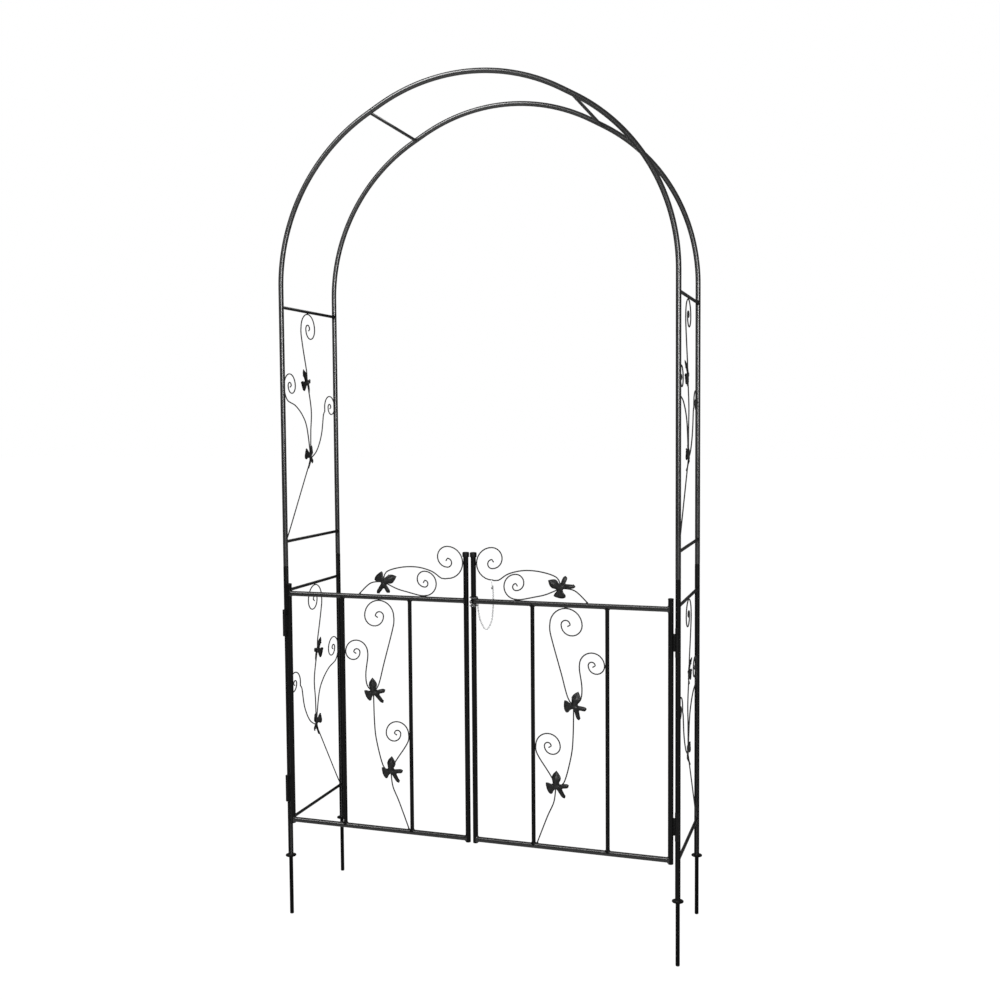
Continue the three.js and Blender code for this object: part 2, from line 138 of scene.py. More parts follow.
class Wire:
    """A socket of one material. Sums and products of it add Math nodes."""

    def __init__(self, tree, socket=None):
        self.tree = tree
        self.socket = socket

    def node(self, kind, inputs=None, output=0, **settings):
        made = self.tree.nodes.new(kind)
        for name, value in settings.items():
            setattr(made, name, value)
        for name, value in (inputs or {}).items():
            if isinstance(value, Wire):
                self.tree.links.new(value.socket, made.inputs[name])
            else:
                made.inputs[name].default_value = value
        return Wire(self.tree, made.outputs[output]) if len(made.outputs) else made

    def maths(self, operation, a, b=0.5):
        return self.node("ShaderNodeMath", {0: a, 1: b}, operation=operation)

    def __add__(self, other):
        return self.maths("ADD", self, other)

    def __sub__(self, other):
        return self.maths("SUBTRACT", self, other)

    def __rsub__(self, other):
        return self.maths("SUBTRACT", other, self)

    def __mul__(self, other):
        return self.maths("MULTIPLY", self, other)

    __radd__ = __add__
    __rmul__ = __mul__

    def clouds(self, place, size, detail=2.0, roughness=0.5):
        """Soft noise with lumps of a size in metres"""
        inputs = {"Vector": place, "Scale": 1 / size, "Detail": detail, "Roughness": roughness}
        return self.node("ShaderNodeTexNoise", inputs)

    def between(self, value, low, high):
        """How far a value has come from low to high, from 0 to 1"""
        inputs = {"Value": value, "From Min": low, "From Max": high}
        return self.node("ShaderNodeMapRange", inputs, interpolation_type="SMOOTHSTEP")

    def blend(self, share, a, b):
        """A colour between two"""
        inputs = {0: share, 6: a, 7: b}
        return self.node("ShaderNodeMix", inputs, output=2, data_type="RGBA")


def grey(shade, warmth=0.0):
    return (shade * (1 + warmth), shade, shade * (1 - warmth), 1)


def new_finish(name):
    material = bpy.data.materials.new(name)
    material.use_nodes = True
    material.node_tree.nodes.clear()
    return material, Wire(material.node_tree)


def close_finish(tree, bump_height, bump_distance, bump_strength, inputs):
    """Ends a finish in its shader, with the height laid on as a bump"""
    bump = {"Height": bump_height, "Distance": bump_distance, "Strength": bump_strength}
    inputs = {**inputs, "Normal": tree.node("ShaderNodeBump", bump)}
    shader = tree.node("ShaderNodeBsdfPrincipled", inputs)
    tree.node("ShaderNodeOutputMaterial", {"Surface": shader})


def satin_black(name, shade, roughness, sheen, peel_size=0.0016, peel=0.5, dust=0.5, wear=0.0):
    """Baked-on black powder paint: fine orange peel, uneven gloss, a little dust on top"""
    material, tree = new_finish(name)
    place = tree.node("ShaderNodeTexCoord", output=3)
    facing = tree.node("ShaderNodeNewGeometry", output=1)
    upward = tree.node("ShaderNodeSeparateXYZ", {0: facing}, output=2)
    broad = tree.clouds(place, 0.11, 3.0)
    patches = tree.clouds(place, 0.018, 4.0, 0.6)
    grains = tree.clouds(place, 0.0035, 3.0, 0.7)
    settled = tree.between(upward, 0.35, 1.0) * tree.between(patches, 0.42, 0.62) * dust
    rubbed = tree.between(grains * 0.6 + patches * 0.4, 0.61, 0.66) * (0.25 + wear)
    coat = tree.blend(tree.between(broad, 0.35, 0.65), grey(shade * 0.8), grey(shade * 1.25))
    dusted = tree.blend(settled * 0.35, coat, grey(0.11, 0.06))
    colour = tree.blend(rubbed, dusted, grey(shade * 2.6))
    gloss = roughness - 0.07 + broad * 0.1 + patches * 0.06 + settled * 0.12 + rubbed * 0.08
    orange_peel = tree.clouds(place, peel_size, 2.0, 0.45)
    height = orange_peel * peel + patches * 0.35 - rubbed * 0.25
    inputs = {"Base Color": colour, "Roughness": gloss, "Specular IOR Level": sheen}
    close_finish(tree, height, 0.0004, 0.1, inputs)
    return material


def cast_black(name, shade, roughness):
    """Painted casting: the sand's grain shows through; the raised relief is painted lighter as
    painted highlight and the hollows darker as painted shade
    """
    material, tree = new_finish(name)
    place = tree.node("ShaderNodeTexCoord", output=3)
    relief = tree.node("ShaderNodeAttribute", output=2, attribute_name="relief")
    lumps = tree.clouds(place, 0.009, 3.0, 0.6)
    sand = tree.clouds(place, 0.0017, 3.0, 0.65)
    # Painted highlight on the raised relief and painted shade in the hollows, both set by the
    # relief value.
    raised_highlight = tree.between(relief + lumps * 0.5, 0.75, 1.3)
    hollow_shade = tree.between(relief + lumps * 0.4, 0.15, 0.6)
    coat = tree.blend(hollow_shade, grey(shade * 0.45), grey(shade))
    colour = tree.blend(raised_highlight * 0.85, coat, grey(shade * 9))
    gloss = roughness + (sand - 0.5) * 0.22 - raised_highlight * 0.08
    height = sand * 0.75 + lumps * 0.9
    inputs = {"Base Color": colour, "Roughness": gloss, "Specular IOR Level": 0.24}
    close_finish(tree, height, 0.0007, 0.55, inputs)
    return material


def moulded_black(name, shade, roughness):
    """Moulded black plastic with a fine, even grain"""
    material, tree = new_finish(name)
    place = tree.node("ShaderNodeTexCoord", output=3)
    grain = tree.clouds(place, 0.0009, 2.0, 0.6)
    haze = tree.clouds(place, 0.006, 3.0, 0.6)
    scuffs = tree.between(tree.clouds(place, 0.0028, 4.0, 0.75), 0.6, 0.68)
    coat = tree.blend(haze, grey(shade * 0.8), grey(shade * 1.3))
    colour = tree.blend(scuffs * 0.4, coat, grey(shade * 3))
    gloss = roughness - 0.06 + haze * 0.12 + scuffs * 0.1
    close_finish(tree, grain * 0.8 + haze * 0.3, 0.0003, 0.45, {
        "Base Color": colour, "Roughness": gloss, "Specular IOR Level": 0.2})
    return material


def zinc_plate(name, shade, roughness):
    """Bright zinc plate, clouded and a little dull in places"""
    material, tree = new_finish(name)
    place = tree.node("ShaderNodeTexCoord", output=3)
    clouding = tree.clouds(place, 0.006, 4.0, 0.6)
    specks = tree.between(tree.clouds(place, 0.0012, 3.0, 0.7), 0.56, 0.66)
    bright = tree.blend(clouding, grey(shade * 0.78, -0.02), grey(shade * 1.1, -0.015))
    colour = tree.blend(specks * 0.5, bright, grey(shade * 0.45, 0.03))
    gloss = roughness - 0.08 + clouding * 0.2 + specks * 0.2
    close_finish(tree, specks * 0.4 + clouding * 0.4, 0.0002, 0.4, {
        "Base Color": colour, "Roughness": gloss, "Metallic": 1.0 - specks * 0.5})
    return material


# Lit copy of the one black paint: lighter and glossier, as painted highlight on the hoops, upper
# posts and arch rods.
hoop_paint_lit_copy = satin_black("satin_black_hoops_lit_copy", 0.011, 0.27, 1.0)
# Shaded copies of the same paint: darker and duller, as painted shade on the lower posts,
# crossbars, stakes and gate.
post_paint_shaded_copy = satin_black("satin_black_posts_shaded_copy", 0.004, 0.36, 0.16)
stake_paint_shaded_copy = satin_black("satin_black_stakes_shaded_copy", 0.0025, 0.46, 0.06, dust=0.6, wear=0.3)
gate_paint_shaded_copy = satin_black("satin_black_gate_shaded_copy", 0.0035, 0.34, 0.12)
# Lit copy of the same paint: glossier, as painted highlight along the rails.
rail_paint_lit_copy = satin_black("satin_black_rails_lit_copy", 0.004, 0.31, 0.7)
# Shaded copy of the same paint: darker and duller, as painted shade on the hinges.
hinge_paint_shaded_copy = satin_black("satin_black_hinges_shaded_copy", 0.0035, 0.42, 0.16, peel=0.7, wear=0.25)
wire_paint = satin_black("satin_black_wires", 0.006, 0.4, 0.4, peel_size=0.0012, peel=0.6)
casting_paint = cast_black("cast_black_leaves", 0.0032, 0.38)
cap_moulding = moulded_black("moulded_black_caps", 0.003, 0.55)
chain_plating = zinc_plate("zinc_plated_chain", 0.8, 0.36)
# Dull zinc of the clasp, also laid on the wound chain links as painted shade.
clasp_zinc_and_wrap_shade = zinc_plate("dull_zinc_clasp_and_wrap_shade", 0.3, 0.45)


# ---------------------------------------------------------------- shaping tools


def verts_of(geometry):
    return [part for part in geometry if isinstance(part, bmesh.types.BMVert)]


def faces_round(verts):
    """The faces that touch these vertices"""
    return dict.fromkeys(face for vert in verts for face in vert.link_faces)


def verts_since(bm, known):
    """The vertices made after the known ones"""
    return [vert for vert in bm.verts if vert not in known]


def between_verts(verts):
    """The edges that join these vertices"""
    ring = set(verts)
    edges = dict.fromkeys(edge for vert in verts for edge in vert.link_edges)
    return [edge for edge in edges if all(vert in ring for vert in edge.verts)]


def cap(bm, verts):
    """Closes a ring with a face"""
    made = bmesh.ops.contextual_create(bm, geom=list(verts) + between_verts(verts))
    return made["faces"][0]


class Rod:
    """A round bar drawn out of its first ring, whose end moves on with each call."""

    def __init__(self, bm, start, heading, radius, sides):
        self.bm = bm
        self.at = Vector(start)
        self.heading = Vector(heading).normalized()
        self.radius = radius
        turn = self.heading.to_track_quat("Z", "Y").to_matrix().to_4x4()
        place = Matrix.Translation(self.at) @ turn
        made = bmesh.ops.create_circle(bm, segments=sides, radius=radius, matrix=place)
        self.first = list(made["verts"])
        self.ring = list(made["verts"])

    def draw(self, step):
        made = bmesh.ops.extrude_edge_only(self.bm, edges=between_verts(self.ring))
        self.ring = verts_of(made["geom"])
        bmesh.ops.translate(self.bm, verts=self.ring, vec=step)
        self.at = self.at + step
        return self

    def widen(self, radius):
        share = radius / self.radius
        space = Matrix.Translation(-self.at)
        bmesh.ops.scale(self.bm, verts=self.ring, vec=(share, share, share), space=space)
        self.radius = radius
        return self

    def straight(self, distance, radius=None):
        self.draw(self.heading * distance)
        return self.widen(radius) if radius else self

    def bend(self, centre, axis, angle, steps):
        geometry = self.ring + between_verts(self.ring)
        made = bmesh.ops.spin(
            self.bm, geom=geometry, cent=centre, axis=axis, angle=angle, steps=steps)
        self.ring = verts_of(made["geom_last"])
        turn = Matrix.Rotation(angle, 3, axis)
        self.at = Vector(centre) + turn @ (self.at - Vector(centre))
        self.heading = turn @ self.heading
        return self

    def follow(self, points):
        for i, point in enumerate(points):
            ahead = points[min(i + 1, len(points) - 1)]
            heading = (ahead - self.at).normalized()
            self.draw(point - self.at)
            turn = self.heading.rotation_difference(heading).to_matrix()
            bmesh.ops.rotate(self.bm, verts=self.ring, cent=self.at, matrix=turn)
            self.heading = heading
        return self

    def close(self):
        cap(self.bm, self.first)
        cap(self.bm, self.ring)
        return self


def turned(bm, profile, place, sides=tube_sides):
    """A shape spun about Z from radii and heights; both ends may lie on the axis"""
    known = set(bm.verts)
    verts = [bm.verts.new((radius, 0, height)) for radius, height in profile]
    edges = [bm.edges.new(pair) for pair in zip(verts, verts[1:])]
    bmesh.ops.spin(
        bm, geom=verts + edges, cent=(0, 0, 0), axis=Z, angle=2 * math.pi, steps=sides,
        use_merge=True)
    shape = verts_since(bm, known)
    bmesh.ops.remove_doubles(bm, verts=shape, dist=merge_distance)
    shape = [vert for vert in shape if vert.is_valid]
    bmesh.ops.translate(bm, verts=shape, vec=place)
    return shape


def bead(bm, start, end, radius):
    """A rippled run of weld"""
    start, end = Vector(start), Vector(end)
    run = end - start
    ripples = max(2, round(run.length / 1.6))
    step = run.length / (2 * ripples)
    rod = Rod(bm, start, run, radius * 0.45, 8)
    for i in range(2 * ripples):
        swell = 1.0 if i % 2 else 0.82
        rod.straight(step, radius * (swell + 0.14 * noise.noise(rod.at * 0.9)))
    rod.straight(step * 0.6, radius * 0.45).close()


def dab(bm, place, radius, squash=(1, 1, 1)):
    """A small round blob of weld"""
    shape = Matrix.Translation(place) @ Matrix.Diagonal((*squash, 1))
    made = bmesh.ops.create_uvsphere(bm, u_segments=10, v_segments=7, radius=radius, matrix=shape)
    for vert in made["verts"]:
        away = (vert.co - Vector(place)) * (0.18 * noise.noise(vert.co * 0.8))
        vert.co += away


# Weld fillet: how far each ring stands off the seat, and how far it stands out of the bar
fillet_shares = [(-0.35, 0.9), (0.05, 1.0), (0.3, 0.86), (0.58, 0.58), (0.85, 0.24), (1.15, 0.0)]
seat_reach_share = 0.95


def welded_bar(bm, start, end, radius, seat_radius, seat_axis, sides=bar_sides):
    """A bar between two round tubes; each end runs out in a weld that follows the tube"""
    start, end = Vector(start), Vector(end)
    along = (end - start).normalized()
    lateral = along.cross(Vector(seat_axis)).normalized()
    stations = [(off * weld_leg, out * weld_leg) for off, out in fillet_shares]
    length = (end - start).length
    rings = [(off, out, -1) for off, out in stations]
    rings += [(length - off, out, 1) for off, out in reversed(stations)]
    rod = Rod(bm, start + along * rings[0][0], along, radius + rings[0][1], sides)
    drawn = [(rod.ring, rings[0])]
    for previous, ring in zip(rings, rings[1:]):
        rod.straight(ring[0] - previous[0], radius + ring[1])
        drawn.append((rod.ring, ring))
    limit = seat_radius * seat_reach_share
    for verts, (off, out, side) in drawn:
        share = min(1, out / weld_leg * 1.6)
        centre = start + along * off
        for vert in verts:
            away = vert.co - centre
            lump = 1 + 0.16 * share * noise.noise(vert.co * 0.7)
            vert.co = centre + away * lump
            aside = (vert.co - centre).dot(lateral)
            if abs(aside) > limit:
                vert.co -= lateral * (abs(aside) - limit) * math.copysign(1, aside)
                aside = math.copysign(limit, aside)
            sunk = seat_radius - math.sqrt(seat_radius ** 2 - aside ** 2)
            vert.co += along * side * sunk * share
    rod.close()


def spline(knots, step=spline_step):
    """A smooth run of points through the knots"""
    drawn = [knots[0]]
    for i, (a, b) in enumerate(zip(knots, knots[1:])):
        before = knots[max(i - 1, 0)]
        after = knots[min(i + 2, len(knots) - 1)]
        count = max(3, math.ceil((b - a).length / step))
        drawn += interpolate_bezier(a, a + (b - before) / 6, b - (after - a) / 6, b, count)[1:]
    return drawn


def place_piece(bm, name, node, body, finishes, sharp=40):
    """Sets a finished shape into the frame as a piece that rides on its body"""
    bmesh.ops.transform(bm, matrix=into_frame, verts=bm.verts[:])
    bmesh.ops.recalc_face_normals(bm, faces=bm.faces[:])
    for face in bm.faces:
        face.smooth = True
    mesh = bpy.data.meshes.new(name)
    bm.to_mesh(mesh)
    bm.free()
    mesh.set_sharp_from_angle(angle=math.radians(sharp))
    for finish in finishes:
        mesh.materials.append(finish)
    piece = bpy.data.objects.new(name, mesh)
    bpy.context.scene.collection.objects.link(piece)
    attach(piece, body)
    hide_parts(node)
    return piece


# ---------------------------------------------------------------- hoops

bow_sweep = math.pi / 2 - joint_slope
bow_centre_x = -half_span + bow_radius
bow_end_x = bow_centre_x - bow_radius * math.cos(bow_sweep)
bow_end_z = spring_height + bow_radius * math.sin(bow_sweep)
joint_x = bow_end_x + joint_straight * math.cos(joint_slope)
joint_z = bow_end_z + joint_straight * math.sin(joint_slope)
crown_start_x = joint_x + joint_straight * math.cos(joint_slope)
crown_start_z = joint_z + joint_straight * math.sin(joint_slope)
crown_radius = -crown_start_x / math.sin(joint_slope)
crown_centre_z = crown_start_z - crown_radius * math.cos(joint_slope)
bore = post_radius - tube_wall
spigot = bore - spigot_clearance
lip = 0.5


def along_joint(sign, y, distance):
    x = joint_x + distance * math.cos(joint_slope)
    return Vector((-sign * x, y, joint_z + distance * math.sin(joint_slope)))


def open_socket(bm, mouth, heading):
    """Begins a tube at the bottom of its socket and turns it round at the mouth"""
    heading = Vector(heading)
    rod = Rod(bm, mouth + heading * socket_depth, -heading, bore, tube_sides)
    rod.straight(socket_depth - lip).straight(lip, bore + lip * 0.4)
    rod.heading = heading
    rod.draw(heading * 0).widen(post_radius - lip)
    return rod.straight(lip, post_radius)


def close_socket(rod):
    rod.straight(lip, post_radius - lip)
    rod.draw(rod.heading * 0).widen(bore + lip * 0.4)
    rod.straight(-lip, bore).straight(-(socket_depth - lip)).close()


def close_spigot(rod):
    """Shoulder, then the reduced end that slides into the next tube"""
    rod.straight(lip, post_radius - lip)
    rod.draw(rod.heading * 0).widen(spigot)
    rod.straight(spigot_length - 1).straight(1, spigot - 1).close()


def ground_stake(side, face):
    bm = bmesh.new()
    tip = 1.8
    edge = 0.5
    fillet = 1.6
    turned(bm, [
        (0, -stake_depth), (stake_radius - tip, -stake_depth),
        (stake_radius - tip * 0.35, -stake_depth + tip * 0.35),
        (stake_radius, -stake_depth + tip), (stake_radius, -40), (stake_radius, -fillet * 1.2),
        (stake_radius + fillet * 0.25, -fillet * 0.4), (stake_radius + fillet, 0),
        (disc_radius - edge, 0), (disc_radius, edge), (disc_radius, disc_thickness - edge),
        (disc_radius - edge, disc_thickness), (stake_radius, disc_thickness),
        (stake_radius, disc_thickness + stake_reach - tip),
        (stake_radius - tip, disc_thickness + stake_reach), (0, disc_thickness + stake_reach),
    ], (side * half_span, face * half_depth, 0))
    return bm


def lower_post(side, face):
    bm = bmesh.new()
    start = Vector((side * half_span, face * half_depth, disc_thickness - 0.1))
    rod = Rod(bm, start, Z, post_radius + weld_leg, tube_sides)
    reached = 0.0
    for off, out in fillet_shares[2:]:
        rod.straight((off - reached) * weld_leg, post_radius + out * weld_leg)
        for vert in rod.ring:
            away = vert.co - rod.at
            vert.co += away * 0.12 * out * noise.noise(vert.co * 0.7)
        reached = off
    rod.straight(post_joint_z - lip - rod.at.z)
    close_spigot(rod)
    return bm


def upper_post(side, face):
    bm = bmesh.new()
    mouth = Vector((side * half_span, face * half_depth, post_joint_z + fit_gap))
    rod = open_socket(bm, mouth, Z)
    rod.straight(spring_height - rod.at.z)
    centre = (-side * bow_centre_x, face * half_depth, spring_height)
    rod.bend(centre, Y, -side * bow_sweep, bow_steps)
    rod.straight(joint_straight - lip)
    close_spigot(rod)
    return bm


def crown_bow(face):
    bm = bmesh.new()
    y = face * half_depth
    heading = Vector((math.cos(joint_slope), 0, math.sin(joint_slope)))
    rod = open_socket(bm, along_joint(-1, y, fit_gap), heading)
    rod.straight(joint_straight - fit_gap - lip)
    rod.bend((0, y, crown_centre_z), Y, 2 * joint_slope, crown_steps)
    rod.straight(joint_straight - fit_gap - lip)
    close_socket(rod)
    return bm


def crossbar(side, z):
    bm = bmesh.new()
    reach = half_depth - post_radius
    start, end = (side * half_span, -reach, z), (side * half_span, reach, z)
    welded_bar(bm, start, end, crossbar_diameter / 2, post_radius, Z)
    return bm


def arch_rod(side):
    bm = bmesh.new()
    reach = half_depth - post_radius
    slope = Vector((-side * math.cos(joint_slope), 0, math.sin(joint_slope)))
    start = along_joint(side, -reach, -arch_rod_setback)
    end = along_joint(side, reach, -arch_rod_setback)
    welded_bar(bm, start, end, crossbar_diameter / 2, post_radius, slope)
    return bm


# ---------------------------------------------------------------- ivy leaves and scrolls

# Leaf seen from the front, clockwise from its tip, as shares of its width and height
ivy_shares = [
    (0.04, 0.53), (0.15, 0.42), (0.23, 0.3), (0.21, 0.2), (0.16, 0.13), (0.19, 0.08),
    (0.34, 0.085), (0.48, 0.08), (0.55, 0.03), (0.5, -0.06), (0.38, -0.075), (0.27, -0.09),
    (0.32, -0.22), (0.37, -0.35), (0.33, -0.43), (0.23, -0.39), (0.13, -0.25), (0.05, -0.13),
    (-0.02, -0.1), (-0.11, -0.17), (-0.16, -0.25), (-0.25, -0.28), (-0.34, -0.22), (-0.4, -0.11),
    (-0.43, 0.01), (-0.43, 0.11), (-0.32, 0.12), (-0.2, 0.09), (-0.13, 0.1), (-0.14, 0.18),
    (-0.16, 0.28), (-0.12, 0.4),
]
ivy_points = [Vector((x * ivy_width, 0, z * ivy_height)) for x, z in ivy_shares]
ivy_tips = [0, 8]
vein_tips = [0, 8, 14, 21, 25]
twig_starts = 0.42
twig_ends = [(0, 2), (0, 30), (8, 7), (8, 9), (14, 13), (14, 15), (21, 23), (25, 24)]
vein_width = 1.5
vein_rise = 1.1
lobe_rise = 1.9
rim_width = 3.4
tip_fall = 7
ivy_cell = 2.2
ivy_forward = 1.9


def ivy_outline():
    """The outline with its tips kept sharp and the sides between them curved"""
    count = len(ivy_points)
    drawn = []
    for i, point in enumerate(ivy_points):
        following = ivy_points[(i + 1) % count]
        before = point if i in ivy_tips else ivy_points[i - 1]
        after = following if (i + 1) % count in ivy_tips else ivy_points[(i + 2) % count]
        leave = point + (following - before) / 6
        arrive = following - (after - point) / 6
        drawn += interpolate_bezier(point, leave, arrive, following, 5)[:-1]
    return drawn


def distance_to(point, a, b):
    near, share = intersect_point_line(point, a, b)
    if share < 0:
        near = a
    elif share > 1:
        near = b
    return (point - near).length


def ivy_casting():
    """The cast ivy leaf about its own centre, facing -Y"""
    bm = bmesh.new()
    relief = bm.verts.layers.float.new("relief")
    outline = ivy_outline()
    bm.faces.new([bm.verts.new(point) for point in outline])
    for axis, reach in ((X, ivy_width), (Z, ivy_height)):
        cuts = math.ceil(reach * 0.6 / ivy_cell)
        for cut in range(-cuts, cuts + 1):
            bmesh.ops.bisect_plane(
                bm, geom=bm.verts[:] + bm.edges[:] + bm.faces[:], dist=1e-3,
                plane_co=axis * (cut + 0.5) * ivy_cell, plane_no=axis)
    bmesh.ops.remove_doubles(bm, verts=bm.verts[:], dist=0.35)
    hub = Vector((-0.5, 0, -1.5))
    veins = [(hub, ivy_points[i]) for i in vein_tips]
    twigs = []
    for tip, end in twig_ends:
        twigs.append((hub.lerp(ivy_points[tip], twig_starts), ivy_points[end]))
    rim = list(zip(outline, outline[1:] + outline[:1]))
    for vert in bm.verts:
        flat = vert.co.copy()
        inside = min(distance_to(flat, a, b) for a, b in rim)
        to_vein = min(distance_to(flat, a, b) for a, b in veins)
        to_twig = min(distance_to(flat, a, b) for a, b in twigs)
        vein = math.exp(-(to_vein / vein_width) ** 2)
        twig = 0.55 * math.exp(-(to_twig / (vein_width * 0.8)) ** 2)
        crown = 1 - math.exp(-inside / rim_width)
        puckered = noise.noise(flat * 0.14) * 0.6
        fall = tip_fall * ((flat - hub).length / 40) ** 2
        ridge = max(vein, twig)
        # The relief value also sets the leaf paint's painted highlight on raised parts and painted
        # shade in hollows.
        vert[relief] = 0.25 + 0.55 * crown * (1 - 0.5 * ridge) + 0.45 * ridge + 0.3 * puckered
        vert.co.y = fall - lobe_rise * crown * (1 + puckered) - vein_rise * ridge
    bmesh.ops.recalc_face_normals(bm, faces=bm.faces[:])
    if sum(face.normal.y for face in bm.faces) > 0:
        bmesh.ops.reverse_faces(bm, faces=bm.faces[:])
    bmesh.ops.solidify(bm, geom=bm.faces[:], thickness=ivy_thickness)
    for face in bm.faces:
        face.material_index = 1
    mesh = bpy.data.meshes.new("ivy_casting")
    bm.to_mesh(mesh)
    bm.free()
    return mesh


casting = ivy_casting()


def set_leaf(bm, x, z, tilt=0.0):
    """Puts a cast leaf on the scroll, turned in the scroll's plane"""
    leaf = casting.copy()
    leaf.transform(Matrix.Translation((x, -ivy_forward, z)) @ Matrix.Rotation(-tilt, 4, "Y"))
    bm.from_mesh(leaf)
    bpy.data.meshes.remove(leaf)


curl_shares = [1, 0.65, 0.28]
tail_turn = math.pi / 3
curl_lead_share = 0.4
up = math.pi / 2
level = math.pi


def wire(bm, points, end=None):
    """A wire through given points in x and z, running on into its curl"""
    knots = [Vector((x, 0, z)) for x, z in points]
    if end:
        x, z, heading, radius = end
        facing = Vector((math.cos(heading), 0, math.sin(heading)))
        start = Vector((x, 0, z))
        knots += [start - facing * radius * curl_lead_share, start]
    drawn = spline(knots)
    rod = Rod(bm, drawn[0], drawn[1] - drawn[0], wire_radius, wire_sides).follow(drawn[1:])
    if end:
        rod.heading = facing
        for share in curl_shares:
            arc = radius * share
            aside = Vector((rod.heading.z, 0, -rod.heading.x))
            steps = max(8, round(curl_steps * math.sqrt(share)))
            rod.bend(rod.at + aside * arc, Y, math.pi, steps)
        tail = Matrix.Rotation(tail_turn, 3, "Y") @ rod.heading
        rod.follow([rod.at + tail * tail_length * 0.5, rod.at + tail * tail_length])
    rod.straight(0.4, wire_radius * 0.7)
    rod.close()


side_shares = {
    "low_joint": (-0.02, 0.35),
    "high_joint": (-0.12, 0.7),
    "low_leaf": (-0.068, 0.361),
    "high_leaf": (-0.15, 0.686),
    "foot_stem": [(-0.81, 0.057), (-0.484, 0.178)],
    "mid_stem": [(-0.006, 0.466), (0.024, 0.569)],
    "top_stem": [(-0.125, 0.736), (-0.227, 0.82)],
    "near_stem": [(-0.143, 0.483), (-0.3, 0.541), (-0.555, 0.584), (-0.84, 0.607)],
    "far_stem": [(0.22, 0.385), (0.41, 0.457), (0.5, 0.546)],
    "top_curl": -0.31,
    "near_curl": 0.67,
    "far_curl": 0.58,
}
side_tilts = (math.radians(-37), math.radians(12))


def side_scroll(side, base, turn):
    bm = bmesh.new()
    crossbar_radius = crossbar_diameter / 2
    reach = half_depth - post_radius - touch_gap

    def at(shares):
        return shares[0] * half_depth, shares[1] * panel_height

    low_joint, high_joint = at(side_shares["low_joint"]), at(side_shares["high_joint"])
    top_z = panel_height - crossbar_radius - touch_gap - large_curl
    far_x = reach - 2 * small_curl
    top_x, _ = at((side_shares["top_curl"], 0))
    _, near_z = at((0, side_shares["near_curl"]))
    _, far_z = at((0, side_shares["far_curl"]))
    foot = (-reach, crossbar_radius + touch_gap)
    stems = {name: [at(shares) for shares in side_shares[name]] for name in (
        "foot_stem", "mid_stem", "top_stem", "near_stem", "far_stem")}
    wire(bm, [foot, *stems["foot_stem"], low_joint])
    wire(bm, [low_joint, *stems["mid_stem"], high_joint])
    wire(bm, [high_joint, *stems["top_stem"]], (top_x, top_z, up, large_curl))
    wire(bm, [low_joint, *stems["near_stem"]], (-reach, near_z, up, small_curl))
    wire(bm, [low_joint, *stems["far_stem"]], (far_x, far_z, up, small_curl))
    blob = wire_radius * 1.35
    dab(bm, (-reach - 0.3, 0, crossbar_radius + 0.9), blob, (1, 1, 1.2))
    dab(bm, (top_x + large_curl, 0, panel_height - crossbar_radius - 1.1), blob, (1.7, 1, 0.9))
    dab(bm, (-reach - 0.6, 0, near_z), blob, (0.9, 1, 1.8))
    dab(bm, (reach + 0.6, 0, far_z), blob, (0.9, 1, 1.8))
    set_leaf(bm, *at(side_shares["low_leaf"]), side_tilts[0])
    set_leaf(bm, *at(side_shares["high_leaf"]), side_tilts[1])
    place = Matrix.Translation((side * half_span, 0, base)) @ Matrix.Rotation(turn, 4, "Z")
    bmesh.ops.transform(bm, matrix=place, verts=bm.verts[:])
    return bm


panel_shares = {
    "low_leaf": (0.307, 0.255),
    "high_leaf": (0.551, 0.589),
    "foot": 0.05,
    "foot_stem": [(0.19, 0.126), (0.28, 0.19)],
    "mid_stem": [(0.417, 0.273), (0.515, 0.383), (0.543, 0.467)],
    "low_stem": [(0.234, 0.299), (0.08, 0.369)],
    "top_stem": [(0.472, 0.625), (0.387, 0.72), (0.276, 0.841)],
    "high_stem": [(0.643, 0.617), (0.663, 0.667)],
    "top_curl": 0.236,
    "low_curl": 0.419,
    "high_curl": 0.759,
}
ivy_tilts = {
    -1: (math.radians(2), math.radians(11)), 1: (math.radians(3), math.radians(-13))}
crest_tilts = {-1: math.radians(-64), 1: math.radians(65)}


def flip(bm):
    bmesh.ops.scale(bm, vec=(-1, 1, 1), verts=bm.verts[:])


